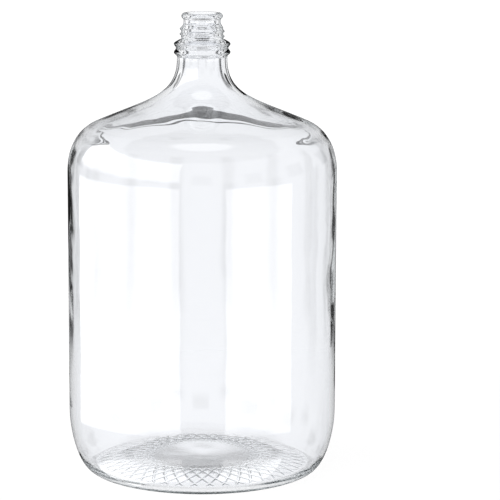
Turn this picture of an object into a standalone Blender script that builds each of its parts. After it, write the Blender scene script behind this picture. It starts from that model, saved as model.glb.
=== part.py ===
"""Glass carboy: a clear glass fermenting bottle that holds 6.5 US gallons (24.6 L).

The bottle is one body of blown glass, standing on Z = 0 with its axis on Z. Its wall is turned from
one outline, which runs up the inside, over the lip and down the outside. The thread for a screw cap
is a helical ridge, joined to the neck.
"""
import math

import bmesh
import bpy
from mathutils import Vector

# Driving dimensions, in metres. A radius is measured from the bottle's axis.
BODY_RADIUS = 0.150
HEIGHT = 0.5142
BODY_WALL = 0.0050
NECK_WALL = 0.0060
BASE_THICKNESS = 0.0055

# Base: a flat ring to stand on, then a cone that rounds over to a raised, shallow dish in the middle.
# A slope is the rise of the surface for each unit of radius.
BEARING_INNER_RADIUS = 0.1212
BEARING_OUTER_RADIUS = 0.1240
CONE_RADIUS = 0.100
CONE_SLOPE = 0.247
DISH_RADIUS = 0.058
DISH_HEIGHT = 0.0095
DISH_SLOPE = 0.044
DISH_DEPTH = 0.0024

# Heel, between the bearing ring and the straight body.
HEEL_HEIGHT = 0.0693
HEEL_LOWER_HANDLE = 0.0142
HEEL_UPPER_HANDLE = 0.0325
INNER_HEEL_RADIUS = 0.118

# Shoulder: it turns in from the body, crosses a slope of constant angle and sweeps up to the neck.
SHOULDER_START = 0.3400
SHOULDER_SLOPE = math.radians(24.0)
SLOPE_RADIUS = 0.1221
SLOPE_HEIGHT = 0.3906
SHOULDER_LOWER_HANDLE = 0.0144
SHOULDER_UPPER_HANDLE = 0.0246
SWEEP_LOWER_HANDLE = 0.0656
SWEEP_UPPER_HANDLE = 0.0415
NECK_RADIUS = 0.0279
NECK_START = 0.4633

# Finish: two transfer rings, the threaded part and the lip.
RING_RADIUS = 0.0314
RING_GROOVE_RADIUS = 0.0286
RING_ROUNDING = 0.0019
RING_FLANK_ANGLE = 52
LOWER_RING_HEIGHT = 0.4708
UPPER_RING_HEIGHT = 0.4800
RING_HALF_HEIGHT = 0.0042
UPPER_RING_TOP_RADIUS = 0.0262
THREAD_ROOT_RADIUS = 0.0233
THREAD_ROOT_BOTTOM = 0.4852
THREAD_ROOT_TOP = 0.4985
NECK_BELOW_LIP_RADIUS = 0.0206
NECK_BELOW_LIP_HEIGHT = 0.5022
LIP_RADIUS = 0.0230
LIP_HALF_HEIGHT = 0.0033
LIP_ROUNDING = 0.0035
LIP_INNER_ROUNDING = 0.0014

# Bore: the stopper's seat at the top, which opens into the wider neck.
BORE_RADIUS = 0.0158
BORE_BOTTOM = 0.4915
NECK_BORE_RADIUS = NECK_RADIUS - NECK_WALL
NECK_BORE_TOP = 0.4775

# Thread ridge, right-handed.
THREAD_PITCH = 0.0058
THREAD_START_HEIGHT = 0.4876
THREAD_START_ANGLE = -30.0
THREAD_END_ANGLE = 570.0
THREAD_FADE_ANGLE = 40.0
THREAD_DEPTH = 0.0016
THREAD_ROOT_WIDTH = 0.0036
THREAD_CREST_WIDTH = 0.0014
THREAD_EMBED = 0.0008

# Facets around the bottle and along each curve of its outline.
SEGMENTS = 56
SHOULDER_STEPS = 7
SWEEP_STEPS = 8
HEEL_STEPS = 7
BASE_STEPS = 4
LIP_STEPS = 6
RING_STEPS = 3
BORE_STEPS = 4
MERGE_DISTANCE = 0.00001


def clear_scene():
    for item in list(bpy.data.objects):
        bpy.data.objects.remove(item, do_unlink=True)


def bezier(start, start_handle, end_handle, end, steps):
    """Points on a cubic curve, with both of its ends."""
    points = []
    for step in range(steps + 1):
        t = step / steps
        s = 1 - t
        point = (s ** 3 * Vector(start) + 3 * s * s * t * Vector(start_handle)
                 + 3 * s * t * t * Vector(end_handle) + t ** 3 * Vector(end))
        points.append(point)
    return points


def ellipse_arc(centre, half_width, half_height, start, end, steps):
    """Points on an ellipse from one angle to another, in degrees, with both of its ends."""
    points = []
    for step in range(steps + 1):
        angle = math.radians(start + (end - start) * step / steps)
        offset = Vector((half_width * math.cos(angle), half_height * math.sin(angle)))
        points.append(Vector(centre) + offset)
    return points


def moved_inwards(points, first_wall, last_wall):
    """The inner face behind a stretch of outer face that starts and ends straight up."""
    moved = []
    last = len(points) - 1
    for index, point in enumerate(points):
        along = points[min(index + 1, last)] - points[max(index - 1, 0)]
        if index in (0, last):
            along = Vector((0, 1))
        along.normalize()
        wall = first_wall + (last_wall - first_wall) * index / last
        moved.append(point + Vector((-along.y, along.x)) * wall)
    return moved


def heel():
    """Outer face from the bearing ring up to the straight body."""
    return bezier(
        (BEARING_OUTER_RADIUS, 0),
        (BEARING_OUTER_RADIUS + HEEL_LOWER_HANDLE, 0),
        (BODY_RADIUS, HEEL_HEIGHT - HEEL_UPPER_HANDLE),
        (BODY_RADIUS, HEEL_HEIGHT),
        HEEL_STEPS,
    )


def shoulder():
    """Outer face from the top of the straight body up to the foot of the neck."""
    slope = Vector((-math.cos(SHOULDER_SLOPE), math.sin(SHOULDER_SLOPE)))
    middle = Vector((SLOPE_RADIUS, SLOPE_HEIGHT))
    turn = bezier(
        (BODY_RADIUS, SHOULDER_START),
        (BODY_RADIUS, SHOULDER_START + SHOULDER_LOWER_HANDLE),
        middle - slope * SHOULDER_UPPER_HANDLE,
        middle,
        SHOULDER_STEPS,
    )
    sweep = bezier(
        middle,
        middle + slope * SWEEP_LOWER_HANDLE,
        (NECK_RADIUS, NECK_START - SWEEP_UPPER_HANDLE),
        (NECK_RADIUS, NECK_START),
        SWEEP_STEPS,
    )
    return turn + sweep[1:]


def transfer_ring(height):
    """The rounded nose of one transfer ring, from its upper to its lower flank."""
    centre = (RING_RADIUS - RING_ROUNDING, height)
    return ellipse_arc(centre, RING_ROUNDING, RING_ROUNDING, RING_FLANK_ANGLE, -RING_FLANK_ANGLE, RING_STEPS)


def finish():
    """Outer face from the lip's flat top down to the foot of the neck."""
    lip_centre = (LIP_RADIUS - LIP_ROUNDING, HEIGHT - LIP_HALF_HEIGHT)
    groove_height = (LOWER_RING_HEIGHT + UPPER_RING_HEIGHT) / 2
    points = ellipse_arc(lip_centre, LIP_ROUNDING, LIP_HALF_HEIGHT, 90, -70, LIP_STEPS)
    points.append(Vector((NECK_BELOW_LIP_RADIUS, NECK_BELOW_LIP_HEIGHT)))
    points.append(Vector((THREAD_ROOT_RADIUS, THREAD_ROOT_TOP)))
    points.append(Vector((THREAD_ROOT_RADIUS, THREAD_ROOT_BOTTOM)))
    points.append(Vector((UPPER_RING_TOP_RADIUS, UPPER_RING_HEIGHT + RING_HALF_HEIGHT)))
    points += transfer_ring(UPPER_RING_HEIGHT)
    points.append(Vector((RING_GROOVE_RADIUS, groove_height)))
    points += transfer_ring(LOWER_RING_HEIGHT)
    points.append(Vector((NECK_RADIUS, LOWER_RING_HEIGHT - RING_HALF_HEIGHT)))
    return points


def underside():
    """Outer face under the bottle, from the bearing ring to the axis."""
    cone_top = Vector((CONE_RADIUS, (BEARING_INNER_RADIUS - CONE_RADIUS) * CONE_SLOPE))
    dish_edge = Vector((DISH_RADIUS, DISH_HEIGHT))
    handle = (CONE_RADIUS - DISH_RADIUS) / 3
    rounding = bezier(
        cone_top,
        cone_top + Vector((-1, CONE_SLOPE)) * handle,
        dish_edge + Vector((1, DISH_SLOPE)) * handle,
        dish_edge,
        BASE_STEPS,
    )
    return [Vector((BEARING_INNER_RADIUS, 0))] + rounding + [Vector((0, DISH_HEIGHT - DISH_DEPTH))]


def inside():
    """Inner face, from the middle of the floor up to the lip."""
    floor = [point + Vector((0, BASE_THICKNESS)) for point in reversed(underside()[1:])]
    inner_radius = BODY_RADIUS - BODY_WALL
    heel_start = floor[-1] + Vector((1, -CONE_SLOPE)) * (INNER_HEEL_RADIUS - CONE_RADIUS)
    inner_heel = bezier(
        heel_start,
        heel_start + Vector((1, -CONE_SLOPE)).normalized() * (HEEL_LOWER_HANDLE + BODY_WALL),
        (inner_radius, HEEL_HEIGHT - HEEL_UPPER_HANDLE),
        (inner_radius, HEEL_HEIGHT),
        HEEL_STEPS,
    )
    inner_shoulder = moved_inwards(shoulder(), BODY_WALL, NECK_WALL)
    bore_flare = bezier(
        (NECK_BORE_RADIUS, NECK_BORE_TOP),
        (NECK_BORE_RADIUS, (NECK_BORE_TOP + BORE_BOTTOM) / 2),
        (BORE_RADIUS, (NECK_BORE_TOP + BORE_BOTTOM) / 2),
        (BORE_RADIUS, BORE_BOTTOM),
        BORE_STEPS,
    )
    lip_centre = (BORE_RADIUS + LIP_INNER_ROUNDING, HEIGHT - LIP_INNER_ROUNDING)
    lip_edge = ellipse_arc(lip_centre, LIP_INNER_ROUNDING, LIP_INNER_ROUNDING, 180, 90, 2)
    return floor + inner_heel + inner_shoulder + bore_flare + lip_edge


def turned_wall():
    """The bottle without its thread: the outline turned once around the axis."""
    outside = finish() + list(reversed(shoulder())) + list(reversed(heel()))
    outline = inside() + outside + underside()
    mesh = bpy.data.meshes.new("glass_carboy")
    edges = [(index, index + 1) for index in range(len(outline) - 1)]
    mesh.from_pydata([(point.x, 0, point.y) for point in outline], edges, [])
    carboy = bpy.data.objects.new("glass_carboy", mesh)
    bpy.context.collection.objects.link(carboy)
    turn = carboy.modifiers.new("turn", 'SCREW')
    turn.axis = 'Z'
    turn.steps = SEGMENTS
    turn.render_steps = SEGMENTS
    turn.use_merge_vertices = True
    turn.merge_threshold = MERGE_DISTANCE
    turn.use_smooth_shade = True
    return carboy


def thread_section(angle):
    """Four corners of the ridge at an angle in degrees. The ridge sinks into the neck at both ends."""
    height = THREAD_START_HEIGHT + THREAD_PITCH * (angle - THREAD_START_ANGLE) / 360
    to_end = min(angle - THREAD_START_ANGLE, THREAD_END_ANGLE - angle)
    rise = min(1, to_end / THREAD_FADE_ANGLE)
    foot = THREAD_ROOT_RADIUS - THREAD_EMBED
    crest = foot + (THREAD_EMBED + THREAD_DEPTH) * (0.1 + 0.9 * rise)
    corners = (
        (foot, -THREAD_ROOT_WIDTH / 2),
        (crest, -THREAD_CREST_WIDTH / 2),
        (crest, THREAD_CREST_WIDTH / 2),
        (foot, THREAD_ROOT_WIDTH / 2),
    )
    turn = math.radians(angle)
    return [(radius * math.cos(turn), radius * math.sin(turn), height + rise_z) for radius, rise_z in corners]


def thread_ridge():
    """The closed helical ridge that becomes the thread."""
    count = round((THREAD_END_ANGLE - THREAD_START_ANGLE) / 360 * SEGMENTS)
    ridge = bmesh.new()
    loops = []
    for step in range(count + 1):
        angle = THREAD_START_ANGLE + (THREAD_END_ANGLE - THREAD_START_ANGLE) * step / count
        loops.append([ridge.verts.new(corner) for corner in thread_section(angle)])
    for loop, following in zip(loops, loops[1:]):
        for index in range(4):
            beside = (index + 1) % 4
            ridge.faces.new((loop[index], following[index], following[beside], loop[beside]))
    ridge.faces.new(loops[0])
    ridge.faces.new(list(reversed(loops[-1])))
    bmesh.ops.recalc_face_normals(ridge, faces=ridge.faces)
    mesh = bpy.data.meshes.new("thread_ridge")
    ridge.to_mesh(mesh)
    ridge.free()
    thread = bpy.data.objects.new("thread_ridge", mesh)
    bpy.context.collection.objects.link(thread)
    thread.hide_render = True
    thread.display_type = 'WIRE'
    return thread


def clear_glass():
    """Clear soda-lime glass with the faint cool tint of a thick wall."""
    material = bpy.data.materials.new("clear_glass")
    material.use_nodes = True
    shader = material.node_tree.nodes["Principled BSDF"]
    shader.inputs["Base Color"].default_value = (0.93, 0.96, 0.95, 1)
    shader.inputs["Roughness"].default_value = 0.02
    shader.inputs["Metallic"].default_value = 0
    shader.inputs["IOR"].default_value = 1.52
    shader.inputs["Transmission Weight"].default_value = 1
    return material


def build():
    clear_scene()
    carboy = turned_wall()
    join = carboy.modifiers.new("thread", 'BOOLEAN')
    join.operation = 'UNION'
    join.solver = 'EXACT'
    join.object = thread_ridge()
    carboy.data.materials.append(clear_glass())


build()
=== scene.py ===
"""Looks for the glass carboy: the blown glass in fine mesh, its material, and a pale studio."""
import math

import bmesh
import bpy
import numpy as np
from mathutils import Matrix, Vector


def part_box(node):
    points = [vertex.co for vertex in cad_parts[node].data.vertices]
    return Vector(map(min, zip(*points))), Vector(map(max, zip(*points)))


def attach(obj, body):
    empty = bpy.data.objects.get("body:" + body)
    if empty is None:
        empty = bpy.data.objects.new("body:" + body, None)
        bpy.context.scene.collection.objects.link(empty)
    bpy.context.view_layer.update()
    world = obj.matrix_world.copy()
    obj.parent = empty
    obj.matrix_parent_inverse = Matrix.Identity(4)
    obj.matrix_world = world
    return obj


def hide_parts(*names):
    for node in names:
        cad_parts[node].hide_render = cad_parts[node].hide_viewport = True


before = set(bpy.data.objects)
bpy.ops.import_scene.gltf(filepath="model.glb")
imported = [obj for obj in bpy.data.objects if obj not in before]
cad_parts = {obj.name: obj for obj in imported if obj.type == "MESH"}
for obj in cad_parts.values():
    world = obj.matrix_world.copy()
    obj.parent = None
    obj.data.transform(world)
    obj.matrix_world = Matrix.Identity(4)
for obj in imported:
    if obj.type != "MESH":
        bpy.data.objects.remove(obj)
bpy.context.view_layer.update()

# The bottle's size comes from the frame. Every other size is in metres.
BODY_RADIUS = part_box("glass_carboy")[1].x
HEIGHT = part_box("glass_carboy")[1].z
BODY_WALL = 0.0050
NECK_WALL = 0.0060
BASE_THICKNESS = 0.0055

# Base and heel.
BEARING_INNER_RADIUS = 0.1212
BEARING_OUTER_RADIUS = 0.1240
DISH_RADIUS = 0.058
DISH_RING_RADIUS = 0.054
DISH_ROUNDING = DISH_RADIUS / 8
DISH_SLOPE = -0.044
CONE_RADIUS = 0.100
CONE_SLOPE = 0.247
HEEL_HEIGHT = 0.0693
HEEL_LOWER_HANDLE = 0.0142
HEEL_UPPER_HANDLE = 0.0325
INNER_HEEL_RADIUS = 0.118

# Shoulder.
SHOULDER_START = 0.3400
SHOULDER_SLOPE = math.radians(24.0)
SLOPE_RADIUS = 0.1221
SLOPE_HEIGHT = 0.3906
SHOULDER_LOWER_HANDLE = 0.0144
SHOULDER_UPPER_HANDLE = 0.0246
SWEEP_LOWER_HANDLE = 0.0656
SWEEP_UPPER_HANDLE = 0.0415
NECK_RADIUS = 0.0279
NECK_START = 0.4633

# The wall's thickness along the shoulder, with distances measured up the shoulder from its start.
SLOPE_WALL = 0.0065
SLOPE_END = 0.129
TURN_EASING = 0.012
TURN_MIDDLE = 0.0386
TURN_WIDTH = 0.0075
TURN_THINNING = 0.0013
RIDGE_MIDDLE = 0.0406
RIDGE_WIDTH = 0.0018
RIDGE_HEIGHT = 0.0010
SWELL_PLACE = {"front": (0.0508, 0.0135), "back": (0.0602, 0.0170)}
SWELL_HEIGHT = 0.0009

# The front's wall turns into the back's between these sines of the angle from the bottle's side.
BACK_FADE = (0.15, 0.70)

# Transfer rings, thread and lip.
RING_RADIUS = 0.0314
RING_GROOVE_RADIUS = 0.0286
RING_NOSE_RADIUS = 0.0019
RING_NOSE_ANGLE = 52
LOWER_RING_HEIGHT = 0.4708
UPPER_RING_HEIGHT = 0.4800
RING_HALF_HEIGHT = 0.0042
UPPER_RING_TOP_RADIUS = 0.0262
THREAD_ROOT_RADIUS = 0.0233
THREAD_ROOT_BOTTOM = 0.4852
THREAD_ROOT_TOP = 0.4985
NECK_BELOW_LIP_RADIUS = 0.0206
NECK_BELOW_LIP_HEIGHT = 0.5022
LIP_RADIUS = 0.0230
LIP_HALF_HEIGHT = 0.0033
LIP_ROUNDING = 0.0035
LIP_LOWEST_ANGLE = -70
LIP_INNER_ROUNDING = 0.0014
THREAD_PITCH = 0.0058
THREAD_START_HEIGHT = 0.4876
THREAD_START_ANGLE = -30.0
THREAD_END_ANGLE = 570.0
THREAD_FADE_ANGLE = 40.0
THREAD_DEPTH = 0.0016
THREAD_WIDTH = 0.0030

# The thread's flank falls away between these shares of half its width.
THREAD_FLANK = (0.25, 1.15)

# Bore.
BORE_RADIUS = 0.0158
BORE_BOTTOM = 0.4915
NECK_BORE_RADIUS = NECK_RADIUS - NECK_WALL
NECK_BORE_TOP = 0.4775

# Knurl under the base: two sets of spiral ribs that cross, and that stay clear of the table.
KNURL_RIBS = 42
KNURL_LEAN = math.tan(math.radians(30))
KNURL_DEPTH = 0.0016
KNURL_WIDTH = 0.0013
KNURL_INNER_RADIUS = 0.063
KNURL_OUTER_RADIUS = 0.119
KNURL_INNER_FADE = 0.004
KNURL_OUTER_FADE = 0.010
KNURL_CLEARANCE = 0.0001
SPIRAL_START_RADIUS = 0.01

# The inner face's unevenness: waves round and up the bottle, from above the floor to below the neck.
WANDER_SEED = 4
WANDER_SIZE = 0.0009
WANDER_WAVES = 14
WANDER_AROUND = (1, 9)
WANDER_UP = (4, 34)
WANDER_LEAN = 1.5
WANDER_START = (0.03, 0.10)
WANDER_END = (0.42, 0.46)

# The glass: its tint, and the colour and density of its absorption.
GLASS_TINT = (0.972, 0.978, 0.995, 1)
GLASS_IOR = 1.52
DEPTH_COLOUR = (0.80, 0.90, 0.92, 1)
DEPTH_DENSITY = 4.0

# The glass's surface: its waves, the stipple round the dish, and the scuffs it has from use.
WAVE_SCALE = 22
WAVE_DETAIL = 1
WAVE_DEPTH = 0.0005
STIPPLE_SCALE = 420
STIPPLE_DETAIL = 2
STIPPLE_DEPTH = 0.0008
STIPPLE_TOP = (0.020, 0.016)
STIPPLE_START = (0.052, 0.058)
STIPPLE_END = (0.092, 0.068)
SCUFF_SCALE = 380
SCUFF_DETAIL = 4
SCUFF_SHARE = (0.42, 0.62)
STANDING_TOP = (0.0016, 0.0002)
STANDING_EDGE = (0.1190, 0.1210)
STANDING_ROUGHNESS = 0.35
HANDLED_BOTTOM = (0.4655, 0.4670)
HANDLED_TOP = (0.4845, 0.4830)
HANDLED_EDGE = (0.0300, 0.0312)
HANDLED_ROUGHNESS = 0.20

# Facets around the bottle, and steps along each stretch of its outline.
SEGMENTS = 240
BASE_SEGMENTS = 720
BEARING_STEPS = 3
UNDERSIDE_STEPS = 49
DISH_STEPS = 9
FLOOR_STEPS = 39
FLOOR_MIDDLE_STEPS = 13
SLOPE_SAMPLES = 1200
HEEL_STEPS = 36
BODY_STEPS = 40
SHOULDER_STEPS = 60
RING_STEPS = 10
LIP_STEPS = 24
BORE_STEPS = 20
EDGE_STEPS = 8
FINISH_SPACING = 0.00045
FINISH_ROUNDS = 3
SAME_POINT = 1e-7

# Studio, in degrees of azimuth and elevation. Each edge is where it starts and where it ends.
# Both panels are in two tiers, and the left one has a third above them.
LEFT_PANEL = ((-130, -128), (-20, -18))
RIGHT_PANEL = ((19, 21), (81, 83))
LOW_TIER = ((-61, -59), (-35, -32))
MIDDLE_TIER = ((-16.2, -14.2), (-9, -4))
TOP_TIER = ((1, 9), (37, 39))
PANEL_STRENGTH = 3.0
CAP_START = (72, 78)
CAP_STRENGTH = 2.0
ROOM_LIGHT = 0.03
WHITE_IN_VIEW = 1.1
LIGHT_MAP_WIDTH = 1024

# The backdrop that is seen through the glass. It is white, with dark flags low down at even spacings,
# and a dark band above the table in the gaps between them.
BACKDROP_TOP = (48, 52)
DARK_BAND = ((1.5, 4.0), (17, 21))
BAND_SIDES = (6, 10)
BACKDROP_LIGHT = 0.99
FLAG_SPACING = 45
FLAG_FADE = (14, 20)
FLAG_TOP = (3, 9)

# Table.
TABLE_RADIUS = 0.95
TABLE_SEGMENTS = 64
TABLE_GAP = 0.0002
TABLE_FADE = (0.45, 0.90)
TABLE_COLOUR = (0.12, 0.12, 0.12, 1)
TABLE_GLOW = 0.97

# Camera, with its lens and sensor in millimetres and its tilt down in degrees.
SENSOR_WIDTH = 36
CAMERA_LENS = 194.84
CAMERA_SHIFT = 0.0957
CAMERA_PLACE = (0, -2.9817, 0.80715)
CAMERA_TILT = 10.62


def eased(value, low, high):
    """0 below low, 1 above high, and smooth between."""
    t = np.clip((value - low) / (high - low), 0, 1)
    return t * t * (3 - 2 * t)


def bell(along, middle, width):
    """1 at the middle, falling smoothly to 0 on both sides."""
    return np.exp(-((along - middle) / width) ** 2)


def cubic(start, start_handle, end_handle, end, steps):
    """Points on a cubic curve as an array of radius and height, with both of its ends."""
    t = np.linspace(0, 1, steps + 1)[:, None]
    s = 1 - t
    start, start_handle = np.array(start), np.array(start_handle)
    end_handle, end = np.array(end_handle), np.array(end)
    return s ** 3 * start + 3 * s * s * t * start_handle + 3 * s * t * t * end_handle + t ** 3 * end


def straight(start, end, steps):
    """Points on a straight line, with both of its ends."""
    t = np.linspace(0, 1, steps + 1)[:, None]
    return (1 - t) * np.array(start) + t * np.array(end)


def ellipse_arc(centre, half_width, half_height, start, end, steps):
    """Points on an arc from one angle to another, in degrees."""
    angle = np.radians(np.linspace(start, end, steps + 1))
    return np.stack([centre[0] + half_width * np.cos(angle), centre[1] + half_height * np.sin(angle)], 1)


def chained(*stretches):
    """One outline from stretches, with a point that two of them share kept once."""
    points = [stretches[0]]
    for stretch in stretches[1:]:
        gap = np.linalg.norm(stretch[0] - points[-1][-1])
        points.append(stretch[1:] if gap < SAME_POINT else stretch)
    return np.concatenate(points)


def distance_along(points):
    """Each point's distance from the first one, measured along the outline."""
    steps = np.linalg.norm(np.diff(points, axis=0), axis=1)
    return np.concatenate([[0], np.cumsum(steps)])


def smoothed(points, spacing, rounds):
    """The outline resampled at an even spacing, with its corners eased."""
    length = distance_along(points)
    count = max(2, round(length[-1] / spacing))
    even = np.linspace(0, length[-1], count + 1)
    out = np.stack([np.interp(even, length, points[:, axis]) for axis in range(2)], 1)
    for _ in range(rounds):
        out[1:-1] = 0.25 * out[:-2] + 0.5 * out[1:-1] + 0.25 * out[2:]
    return out


def moved_inwards(points, wall):
    """The inner face behind a stretch of outer face that starts and ends straight up."""
    along = np.gradient(points, axis=0)
    along[[0, -1]] = (0, 1)
    along /= np.linalg.norm(along, axis=1)[:, None]
    return points + np.stack([-along[:, 1], along[:, 0]], 1) * wall[:, None]


def shoulder_wall(points, side):
    """The wall's thickness up the shoulder: swollen past the turn, and thin and ridged in it at the back."""
    along = distance_along(points)
    wall = BODY_WALL + (SLOPE_WALL - BODY_WALL) * np.clip(along / SLOPE_END, 0, 1)
    wall = wall + (NECK_WALL - SLOPE_WALL) * eased(along, SLOPE_END, along[-1])
    swell = bell(along, *SWELL_PLACE[side]) * SWELL_HEIGHT
    if side == "back":
        swell = swell - TURN_THINNING * bell(along, TURN_MIDDLE, TURN_WIDTH)
        wall = wall + RIDGE_HEIGHT * bell(along, RIDGE_MIDDLE, RIDGE_WIDTH)
    return wall + swell * eased(along, 0, TURN_EASING)


def heel():
    """Outer face from the bearing ring up to the foot of the body."""
    return cubic(
        (BEARING_OUTER_RADIUS, 0),
        (BEARING_OUTER_RADIUS + HEEL_LOWER_HANDLE, 0),
        (BODY_RADIUS, HEEL_HEIGHT - HEEL_UPPER_HANDLE),
        (BODY_RADIUS, HEEL_HEIGHT),
        HEEL_STEPS,
    )


def shoulder():
    """Outer face from the top of the body, round the turn and up the sweep to the neck."""
    slope = np.array([-math.cos(SHOULDER_SLOPE), math.sin(SHOULDER_SLOPE)])
    middle = np.array([SLOPE_RADIUS, SLOPE_HEIGHT])
    turn = cubic(
        (BODY_RADIUS, SHOULDER_START),
        (BODY_RADIUS, SHOULDER_START + SHOULDER_LOWER_HANDLE),
        middle - slope * SHOULDER_UPPER_HANDLE,
        middle,
        SHOULDER_STEPS,
    )
    sweep = cubic(
        middle,
        middle + slope * SWEEP_LOWER_HANDLE,
        (NECK_RADIUS, NECK_START - SWEEP_UPPER_HANDLE),
        (NECK_RADIUS, NECK_START),
        SHOULDER_STEPS,
    )
    return chained(turn, sweep)


def ring_nose(height):
    """A transfer ring's rounded edge, from the top down."""
    centre = (RING_RADIUS - RING_NOSE_RADIUS, height)
    return ellipse_arc(
        centre, RING_NOSE_RADIUS, RING_NOSE_RADIUS, RING_NOSE_ANGLE, -RING_NOSE_ANGLE, RING_STEPS
    )


def finish_outline():
    """Outer face from the lip's flat top down to the foot of the neck."""
    lip_centre = (LIP_RADIUS - LIP_ROUNDING, HEIGHT - LIP_HALF_HEIGHT)
    groove = (LOWER_RING_HEIGHT + UPPER_RING_HEIGHT) / 2
    corners = [
        ellipse_arc(lip_centre, LIP_ROUNDING, LIP_HALF_HEIGHT, 90, LIP_LOWEST_ANGLE, LIP_STEPS),
        np.array([(NECK_BELOW_LIP_RADIUS, NECK_BELOW_LIP_HEIGHT)]),
        np.array([(THREAD_ROOT_RADIUS, THREAD_ROOT_TOP), (THREAD_ROOT_RADIUS, THREAD_ROOT_BOTTOM)]),
        np.array([(UPPER_RING_TOP_RADIUS, UPPER_RING_HEIGHT + RING_HALF_HEIGHT)]),
        ring_nose(UPPER_RING_HEIGHT),
        np.array([(RING_GROOVE_RADIUS, groove)]),
        ring_nose(LOWER_RING_HEIGHT),
        np.array([(NECK_RADIUS, LOWER_RING_HEIGHT - RING_HALF_HEIGHT), (NECK_RADIUS, NECK_START)]),
    ]
    return smoothed(np.concatenate(corners), FINISH_SPACING, FINISH_ROUNDS)


def outer_outline():
    """Lip to bearing ring, from the top down."""
    body = straight((BODY_RADIUS, SHOULDER_START), (BODY_RADIUS, HEEL_HEIGHT), BODY_STEPS)
    return chained(finish_outline(), shoulder()[::-1], body, heel()[::-1])


def base_height(radius):
    """Height under the base, which rises from the bearing ring as a cone and rounds over to a dish."""
    fine = np.linspace(0, BEARING_INNER_RADIUS, SLOPE_SAMPLES)
    dish = DISH_SLOPE * np.minimum(fine / DISH_ROUNDING, 1)
    slope = dish + (CONE_SLOPE - dish) * eased(fine, DISH_RADIUS, CONE_RADIUS)
    drop = np.concatenate([[0], np.cumsum((slope[1:] + slope[:-1]) / 2 * np.diff(fine))])
    return np.interp(radius, fine, drop[-1] - drop)


def base_outline():
    """Bearing ring to the axis, under the bottle."""
    ring = straight((BEARING_OUTER_RADIUS, 0), (BEARING_INNER_RADIUS, 0), BEARING_STEPS)
    cone_radius = np.linspace(BEARING_INNER_RADIUS, DISH_RADIUS, UNDERSIDE_STEPS + 1)
    dish_radius = np.linspace(DISH_RING_RADIUS, 0, DISH_STEPS + 1)
    radius = np.concatenate([cone_radius, dish_radius])
    return chained(ring, np.stack([radius, base_height(radius)], 1))


def inner_outline(side):
    """Inner face, from the middle of the floor up to the lip."""
    dish_radius = np.linspace(0, DISH_RING_RADIUS, FLOOR_MIDDLE_STEPS + 1)
    cone_radius = np.linspace(DISH_RADIUS, INNER_HEEL_RADIUS, FLOOR_STEPS + 1)
    radius = np.concatenate([dish_radius, cone_radius])
    floor = np.stack([radius, base_height(radius) + BASE_THICKNESS], 1)
    floor_end = floor[-1]
    slope = (floor[-1] - floor[-2]) / np.linalg.norm(floor[-1] - floor[-2])
    inner_radius = BODY_RADIUS - BODY_WALL
    inner_heel = cubic(
        floor_end,
        floor_end + slope * (HEEL_LOWER_HANDLE + BODY_WALL),
        (inner_radius, HEEL_HEIGHT - HEEL_UPPER_HANDLE),
        (inner_radius, HEEL_HEIGHT),
        HEEL_STEPS,
    )
    body = straight((inner_radius, HEEL_HEIGHT), (inner_radius, SHOULDER_START), BODY_STEPS)
    outer_shoulder = shoulder()
    inner_shoulder = moved_inwards(outer_shoulder, shoulder_wall(outer_shoulder, side))
    middle = (NECK_BORE_TOP + BORE_BOTTOM) / 2
    narrowing = cubic(
        (NECK_BORE_RADIUS, NECK_BORE_TOP),
        (NECK_BORE_RADIUS, middle),
        (BORE_RADIUS, middle),
        (BORE_RADIUS, BORE_BOTTOM),
        BORE_STEPS,
    )
    bore = straight((BORE_RADIUS, BORE_BOTTOM), (BORE_RADIUS, HEIGHT - LIP_INNER_ROUNDING), BORE_STEPS)
    lip_centre = (BORE_RADIUS + LIP_INNER_ROUNDING, HEIGHT - LIP_INNER_ROUNDING)
    edge = ellipse_arc(lip_centre, LIP_INNER_ROUNDING, LIP_INNER_ROUNDING, 180, 90, EDGE_STEPS)
    return chained(floor, inner_heel, body, inner_shoulder, narrowing, bore, edge)


def thread_rise(angle, height):
    """How far the thread's ridge stands out of the neck at each angle and height."""
    rise = np.zeros(np.broadcast(angle, height).shape)
    for turn in range(-1, 3):
        along = np.degrees(angle) + 360 * turn
        centre = THREAD_START_HEIGHT + THREAD_PITCH * (along - THREAD_START_ANGLE) / 360
        fade = eased(along, THREAD_START_ANGLE, THREAD_START_ANGLE + THREAD_FADE_ANGLE)
        fade = fade * (1 - eased(along, THREAD_END_ANGLE - THREAD_FADE_ANGLE, THREAD_END_ANGLE))
        across = np.abs(height - centre) / (THREAD_WIDTH / 2)
        shape = 1 - eased(across, *THREAD_FLANK)
        rise = np.maximum(rise, fade * shape)
    return rise * THREAD_DEPTH


def knurl_rise(angle, radius):
    """How far the crossed ribs stand down from the underside of the base."""
    rise = np.zeros(np.broadcast(angle, radius).shape)
    swept = KNURL_LEAN * np.log(np.maximum(radius, SPIRAL_START_RADIUS) / KNURL_INNER_RADIUS)
    for side in (1, -1):
        phase = (angle + side * swept) * KNURL_RIBS / (2 * math.pi)
        off_centre = (phase - np.round(phase)) * 2 * math.pi / KNURL_RIBS * radius
        distance = off_centre * math.cos(math.atan(KNURL_LEAN))
        rise = np.maximum(rise, bell(distance, 0, KNURL_WIDTH))
    fade = eased(radius, KNURL_INNER_RADIUS, KNURL_INNER_RADIUS + KNURL_INNER_FADE)
    fade = fade * (1 - eased(radius, KNURL_OUTER_RADIUS - KNURL_OUTER_FADE, KNURL_OUTER_RADIUS))
    return rise * fade * KNURL_DEPTH


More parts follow.
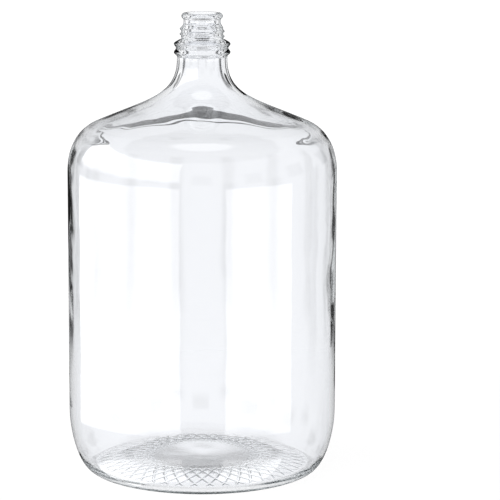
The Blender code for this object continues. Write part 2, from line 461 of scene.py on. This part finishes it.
def wander(angle, height):
    """A smooth, repeatable unevenness of the wall, of WANDER_SIZE at most."""
    rng = np.random.default_rng(WANDER_SEED)
    total = np.zeros(np.broadcast(angle, height).shape)
    weight = 0
    for _ in range(WANDER_WAVES):
        around = rng.integers(*WANDER_AROUND)
        up = rng.uniform(*WANDER_UP)
        share = 1 / (around + up / 8)
        phase = rng.uniform(0, 2 * math.pi, 2)
        lean = WANDER_LEAN * np.sin(up * height / 3 + phase[1])
        total += share * np.sin(around * angle + phase[0] + lean) * np.cos(up * height * 2 + phase[1])
        weight += share
    return total / weight * WANDER_SIZE


def spun(outline, count):
    """Radius, height and angle of the outline's points turned round the axis, in one row for each point."""
    shape = (len(outline), count)
    angle = np.broadcast_to(np.arange(count) * 2 * math.pi / count, shape)
    radius = np.broadcast_to(outline[:, 0:1], shape)
    height = np.broadcast_to(outline[:, 1:2], shape)
    return radius, height, angle


def placed(radius, height, angle):
    """Points in space for each radius, height and angle."""
    return np.stack([radius * np.cos(angle), radius * np.sin(angle), height], 2)


def inner_rings(outline):
    """The inner face's rings, with the unevenness of blown glass."""
    radius, height, angle = spun(outline, SEGMENTS)
    share = eased(height, *WANDER_START) * (1 - eased(height, *WANDER_END))
    return placed(radius + wander(angle, height) * share, height, angle)


def outer_rings(outline):
    """The outer face's rings, with the thread."""
    radius, height, angle = spun(outline, SEGMENTS)
    return placed(radius + thread_rise(angle, height), height, angle)


def base_rings(outline):
    """The underside's rings, with the knurl."""
    radius, height, angle = spun(outline, BASE_SEGMENTS)
    knurl = np.minimum(knurl_rise(angle, radius), np.maximum(height - KNURL_CLEARANCE, 0))
    return placed(radius, height - knurl, angle)


def strip(lower, upper, lower_count, upper_count):
    """Faces between two rings of vertices, where the upper may have a multiple of the lower's count."""
    share = upper_count // lower_count
    faces = []
    for index in range(lower_count):
        beside = (index + 1) % lower_count
        if share == 1:
            faces.append((lower + index, lower + beside, upper + beside, upper + index))
            continue
        for part in range(share):
            first = upper + index * share + part
            second = upper + (index * share + part + 1) % upper_count
            corner = lower + (index if part < share // 2 else beside)
            faces.append((corner, second, first))
            if part == share // 2 - 1:
                faces.append((lower + index, lower + beside, second))
    return faces


def glass_mesh():
    """The whole bottle as one closed mesh, with its base in finer facets than its wall."""
    front = inner_outline("front")
    back = inner_outline("back")
    base = base_outline()
    front_rings = inner_rings(front[1:])
    back_rings = inner_rings(back[1:])
    backwards = front_rings[:, :, 1:2] / np.hypot(front_rings[:, :, 0:1], front_rings[:, :, 1:2])
    blended_rings = front_rings + (back_rings - front_rings) * eased(backwards, *BACK_FADE)
    rings = [*blended_rings, *outer_rings(outer_outline()[:-1]), *base_rings(base[:-1])]

    floor_middle = np.array([[0, 0, front[0, 1]]])
    base_middle = np.array([[0, 0, base[-1, 1]]])
    points = np.concatenate([floor_middle, *rings, base_middle])

    counts = [len(ring) for ring in rings]
    starts = [1]
    for count in counts[:-1]:
        starts.append(starts[-1] + count)
    faces = [(0, 1 + index, 1 + (index + 1) % counts[0]) for index in range(counts[0])]
    for index in range(len(rings) - 1):
        faces += strip(starts[index], starts[index + 1], counts[index], counts[index + 1])
    last_start, last_count = starts[-1], counts[-1]
    for index in range(last_count):
        faces.append((len(points) - 1, last_start + (index + 1) % last_count, last_start + index))
    return points, faces


def add_glass():
    """The bottle as an object, with every face turned outwards."""
    points, faces = glass_mesh()
    mesh = bpy.data.meshes.new("carboy_glass")
    mesh.from_pydata([tuple(point) for point in points], [], faces)
    mesh.validate()
    mesh.shade_smooth()
    work = bmesh.new()
    work.from_mesh(mesh)
    bmesh.ops.recalc_face_normals(work, faces=work.faces)
    work.to_mesh(mesh)
    work.free()
    bottle = bpy.data.objects.new("carboy_glass", mesh)
    bpy.context.collection.objects.link(bottle)
    return bottle


def connect(tree, value, socket):
    """Gives a socket a number, or links it to another node's output."""
    if isinstance(value, (int, float)):
        socket.default_value = value
    else:
        tree.links.new(value, socket)


def calculated(tree, operation, *values):
    """A Math node's output, from numbers or other nodes' outputs."""
    node = tree.nodes.new("ShaderNodeMath")
    node.operation = operation
    for index, value in enumerate(values):
        connect(tree, value, node.inputs[index])
    return node.outputs[0]


def times(tree, *values):
    """The product of two or more values."""
    product = values[0]
    for value in values[1:]:
        product = calculated(tree, 'MULTIPLY', product, value)
    return product


def step(tree, value, start, end):
    """0 before the start, 1 past the end, and smooth between, where the end may be below the start."""
    node = tree.nodes.new("ShaderNodeMapRange")
    node.interpolation_type = 'SMOOTHSTEP'
    tree.links.new(value, node.inputs["Value"])
    node.inputs["From Min"].default_value = min(start, end)
    node.inputs["From Max"].default_value = max(start, end)
    if start > end:
        node.inputs["To Min"].default_value = 1
        node.inputs["To Max"].default_value = 0
    return node.outputs[0]


def between(tree, value, rise, fall):
    """1 between two soft edges, and 0 outside them."""
    return calculated(tree, 'SUBTRACT', step(tree, value, *rise), step(tree, value, *fall))


def clear_glass():
    """Clear glass: wavy as blown, stippled round the dish under it, and scuffed where it is handled."""
    material = bpy.data.materials.new("clear_glass")
    material.use_nodes = True
    tree = material.node_tree
    nodes = tree.nodes
    links = tree.links
    shader = nodes["Principled BSDF"]
    shader.inputs["Base Color"].default_value = GLASS_TINT
    shader.inputs["IOR"].default_value = GLASS_IOR
    shader.inputs["Transmission Weight"].default_value = 1
    depth = nodes.new("ShaderNodeVolumeAbsorption")
    depth.inputs["Color"].default_value = DEPTH_COLOUR
    depth.inputs["Density"].default_value = DEPTH_DENSITY
    links.new(depth.outputs[0], nodes["Material Output"].inputs["Volume"])

    where = nodes.new("ShaderNodeTexCoord")
    apart = nodes.new("ShaderNodeSeparateXYZ")
    links.new(where.outputs["Object"], apart.inputs[0])
    flat = nodes.new("ShaderNodeCombineXYZ")
    links.new(apart.outputs[0], flat.inputs[0])
    links.new(apart.outputs[1], flat.inputs[1])
    reach = nodes.new("ShaderNodeVectorMath")
    reach.operation = 'LENGTH'
    links.new(flat.outputs[0], reach.inputs[0])
    radius = reach.outputs["Value"]
    height = apart.outputs[2]

    def noise(scale, detail):
        node = nodes.new("ShaderNodeTexNoise")
        links.new(where.outputs["Object"], node.inputs["Vector"])
        node.inputs["Scale"].default_value = scale
        node.inputs["Detail"].default_value = detail
        return node.outputs[0]

    waves = nodes.new("ShaderNodeBump")
    links.new(noise(WAVE_SCALE, WAVE_DETAIL), waves.inputs["Height"])
    waves.inputs["Distance"].default_value = WAVE_DEPTH
    waves.inputs["Strength"].default_value = 1
    stipple = nodes.new("ShaderNodeBump")
    links.new(noise(STIPPLE_SCALE, STIPPLE_DETAIL), stipple.inputs["Height"])
    stipple.inputs["Distance"].default_value = STIPPLE_DEPTH
    round_dish = times(
        tree,
        step(tree, height, *STIPPLE_TOP),
        step(tree, radius, *STIPPLE_START),
        step(tree, radius, *STIPPLE_END),
    )
    links.new(round_dish, stipple.inputs["Strength"])
    links.new(waves.outputs[0], stipple.inputs["Normal"])
    links.new(stipple.outputs[0], shader.inputs["Normal"])

    standing = times(tree, step(tree, height, *STANDING_TOP), step(tree, radius, *STANDING_EDGE))
    handled = times(
        tree,
        step(tree, height, *HANDLED_BOTTOM),
        step(tree, height, *HANDLED_TOP),
        step(tree, radius, *HANDLED_EDGE),
    )
    specks = step(tree, noise(SCUFF_SCALE, SCUFF_DETAIL), *SCUFF_SHARE)
    scuffs_below = times(tree, standing, specks, STANDING_ROUGHNESS)
    scuffs_above = times(tree, handled, specks, HANDLED_ROUGHNESS)
    links.new(calculated(tree, 'ADD', scuffs_below, scuffs_above), shader.inputs["Roughness"])
    return material


def table_paint():
    """White paint that glows as if evenly lit, and that fades out towards the table's rim."""
    paint = bpy.data.materials.new("table")
    paint.use_nodes = True
    tree = paint.node_tree
    shader = tree.nodes["Principled BSDF"]
    shader.inputs["Base Color"].default_value = TABLE_COLOUR
    shader.inputs["Roughness"].default_value = 1.0
    shader.inputs["Specular IOR Level"].default_value = 0.0
    shader.inputs["Emission Color"].default_value = (1, 1, 1, 1)
    shader.inputs["Emission Strength"].default_value = TABLE_GLOW
    place = tree.nodes.new("ShaderNodeTexCoord")
    reach = tree.nodes.new("ShaderNodeVectorMath")
    reach.operation = 'LENGTH'
    tree.links.new(place.outputs["Object"], reach.inputs[0])
    clear = tree.nodes.new("ShaderNodeBsdfTransparent")
    blend = tree.nodes.new("ShaderNodeMixShader")
    tree.links.new(step(tree, reach.outputs["Value"], *TABLE_FADE), blend.inputs[0])
    tree.links.new(shader.outputs[0], blend.inputs[1])
    tree.links.new(clear.outputs[0], blend.inputs[2])
    tree.links.new(blend.outputs[0], tree.nodes["Material Output"].inputs["Surface"])
    return paint


def add_table():
    """A round table just under the bottle, which doesn't show in reflections."""
    mesh = bpy.data.meshes.new("table")
    around = [2 * math.pi * index / TABLE_SEGMENTS for index in range(TABLE_SEGMENTS)]
    rim = [(TABLE_RADIUS * math.cos(angle), TABLE_RADIUS * math.sin(angle), 0) for angle in around]
    mesh.from_pydata(rim, [], [tuple(range(TABLE_SEGMENTS))])
    mesh.materials.append(table_paint())
    table = bpy.data.objects.new("table", mesh)
    bpy.context.collection.objects.link(table)
    table.location.z = -TABLE_GAP
    table.visible_glossy = False


def panel_light(tree, azimuth, elevation):
    """What the bottle reflects: a tiered panel at each side, a cap above, and a little light all round."""
    right_tiers = calculated(
        tree, 'ADD', between(tree, elevation, *LOW_TIER), between(tree, elevation, *MIDDLE_TIER)
    )
    left_tiers = calculated(tree, 'ADD', right_tiers, between(tree, elevation, *TOP_TIER))
    right = times(tree, between(tree, azimuth, *RIGHT_PANEL), right_tiers)
    left = times(tree, between(tree, azimuth, *LEFT_PANEL), left_tiers)
    panels = times(tree, calculated(tree, 'ADD', left, right), PANEL_STRENGTH)
    cap = times(tree, step(tree, elevation, *CAP_START), CAP_STRENGTH)
    return calculated(tree, 'ADD', calculated(tree, 'ADD', panels, cap), ROOM_LIGHT)


def backdrop_light(tree, azimuth, elevation):
    """What is seen through the bottle: white, with low dark flags and a dark band in their gaps."""
    # The distance in degrees to the middle of the nearest gap between two flags.
    aside = calculated(tree, 'PINGPONG', calculated(tree, 'ABSOLUTE', azimuth), FLAG_SPACING / 2)
    in_gap = calculated(tree, 'SUBTRACT', 1, step(tree, aside, *BAND_SIDES))
    band = times(tree, between(tree, elevation, *DARK_BAND), in_gap)
    white = calculated(tree, 'SUBTRACT', 1, step(tree, elevation, *BACKDROP_TOP))
    low = calculated(tree, 'SUBTRACT', 1, step(tree, elevation, *FLAG_TOP))
    flags = times(tree, step(tree, aside, *FLAG_FADE), low)
    unflagged = calculated(tree, 'SUBTRACT', 1, flags)
    backdrop = times(tree, calculated(tree, 'SUBTRACT', white, band), unflagged, BACKDROP_LIGHT)
    return calculated(tree, 'ADD', backdrop, ROOM_LIGHT)


def add_studio():
    """A world that is white to the camera, and that lights the bottle with its panels and its backdrop."""
    world = bpy.data.worlds.new("studio")
    bpy.context.scene.world = world
    world.use_nodes = True
    tree = world.node_tree
    nodes = tree.nodes
    links = tree.links

    where = nodes.new("ShaderNodeTexCoord")
    apart = nodes.new("ShaderNodeSeparateXYZ")
    links.new(where.outputs["Generated"], apart.inputs[0])
    x, y, z = apart.outputs
    # Azimuth 0 is towards the camera, and positive on its right.
    azimuth = times(tree, calculated(tree, 'ARCTAN2', x, times(tree, y, -1)), 180 / math.pi)
    elevation = times(tree, calculated(tree, 'ARCSINE', z), 180 / math.pi)
    path = nodes.new("ShaderNodeLightPath")

    def chosen(flag, there, otherwise):
        node = nodes.new("ShaderNodeMix")
        links.new(path.outputs[flag], node.inputs["Factor"])
        links.new(otherwise, node.inputs["A"])
        connect(tree, there, node.inputs["B"])
        return node.outputs["Result"]

    lamps = panel_light(tree, azimuth, elevation)
    light = chosen("Is Transmission Ray", backdrop_light(tree, azimuth, elevation), lamps)
    light = chosen("Is Camera Ray", WHITE_IN_VIEW, light)
    background = nodes["Background"]
    links.new(light, background.inputs[1])
    background.inputs[0].default_value = (1, 1, 1, 1)
    world.cycles.sampling_method = 'MANUAL'
    world.cycles.sample_map_resolution = LIGHT_MAP_WIDTH


def add_camera():
    """The photograph's view: a long lens that looks down a little."""
    data = bpy.data.cameras.new("camera")
    data.sensor_width = SENSOR_WIDTH
    data.lens = CAMERA_LENS
    data.shift_x = CAMERA_SHIFT
    camera = bpy.data.objects.new("camera", data)
    bpy.context.collection.objects.link(camera)
    camera.location = CAMERA_PLACE
    camera.rotation_euler = (math.radians(90 - CAMERA_TILT), 0, 0)
    bpy.context.scene.camera = camera


add_camera()
glass = add_glass()
glass.data.materials.append(clear_glass())
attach(glass, "root")
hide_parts("glass_carboy")
add_table()
add_studio()

# Light passes through several walls of glass, so it needs many bounces.
scene = bpy.context.scene
scene.view_settings.view_transform = 'Standard'
scene.cycles.max_bounces = 32
scene.cycles.transmission_bounces = 32
scene.cycles.glossy_bounces = 12
scene.cycles.transparent_max_bounces = 16
scene.cycles.sample_clamp_indirect = 10
scene.cycles.use_denoising = True
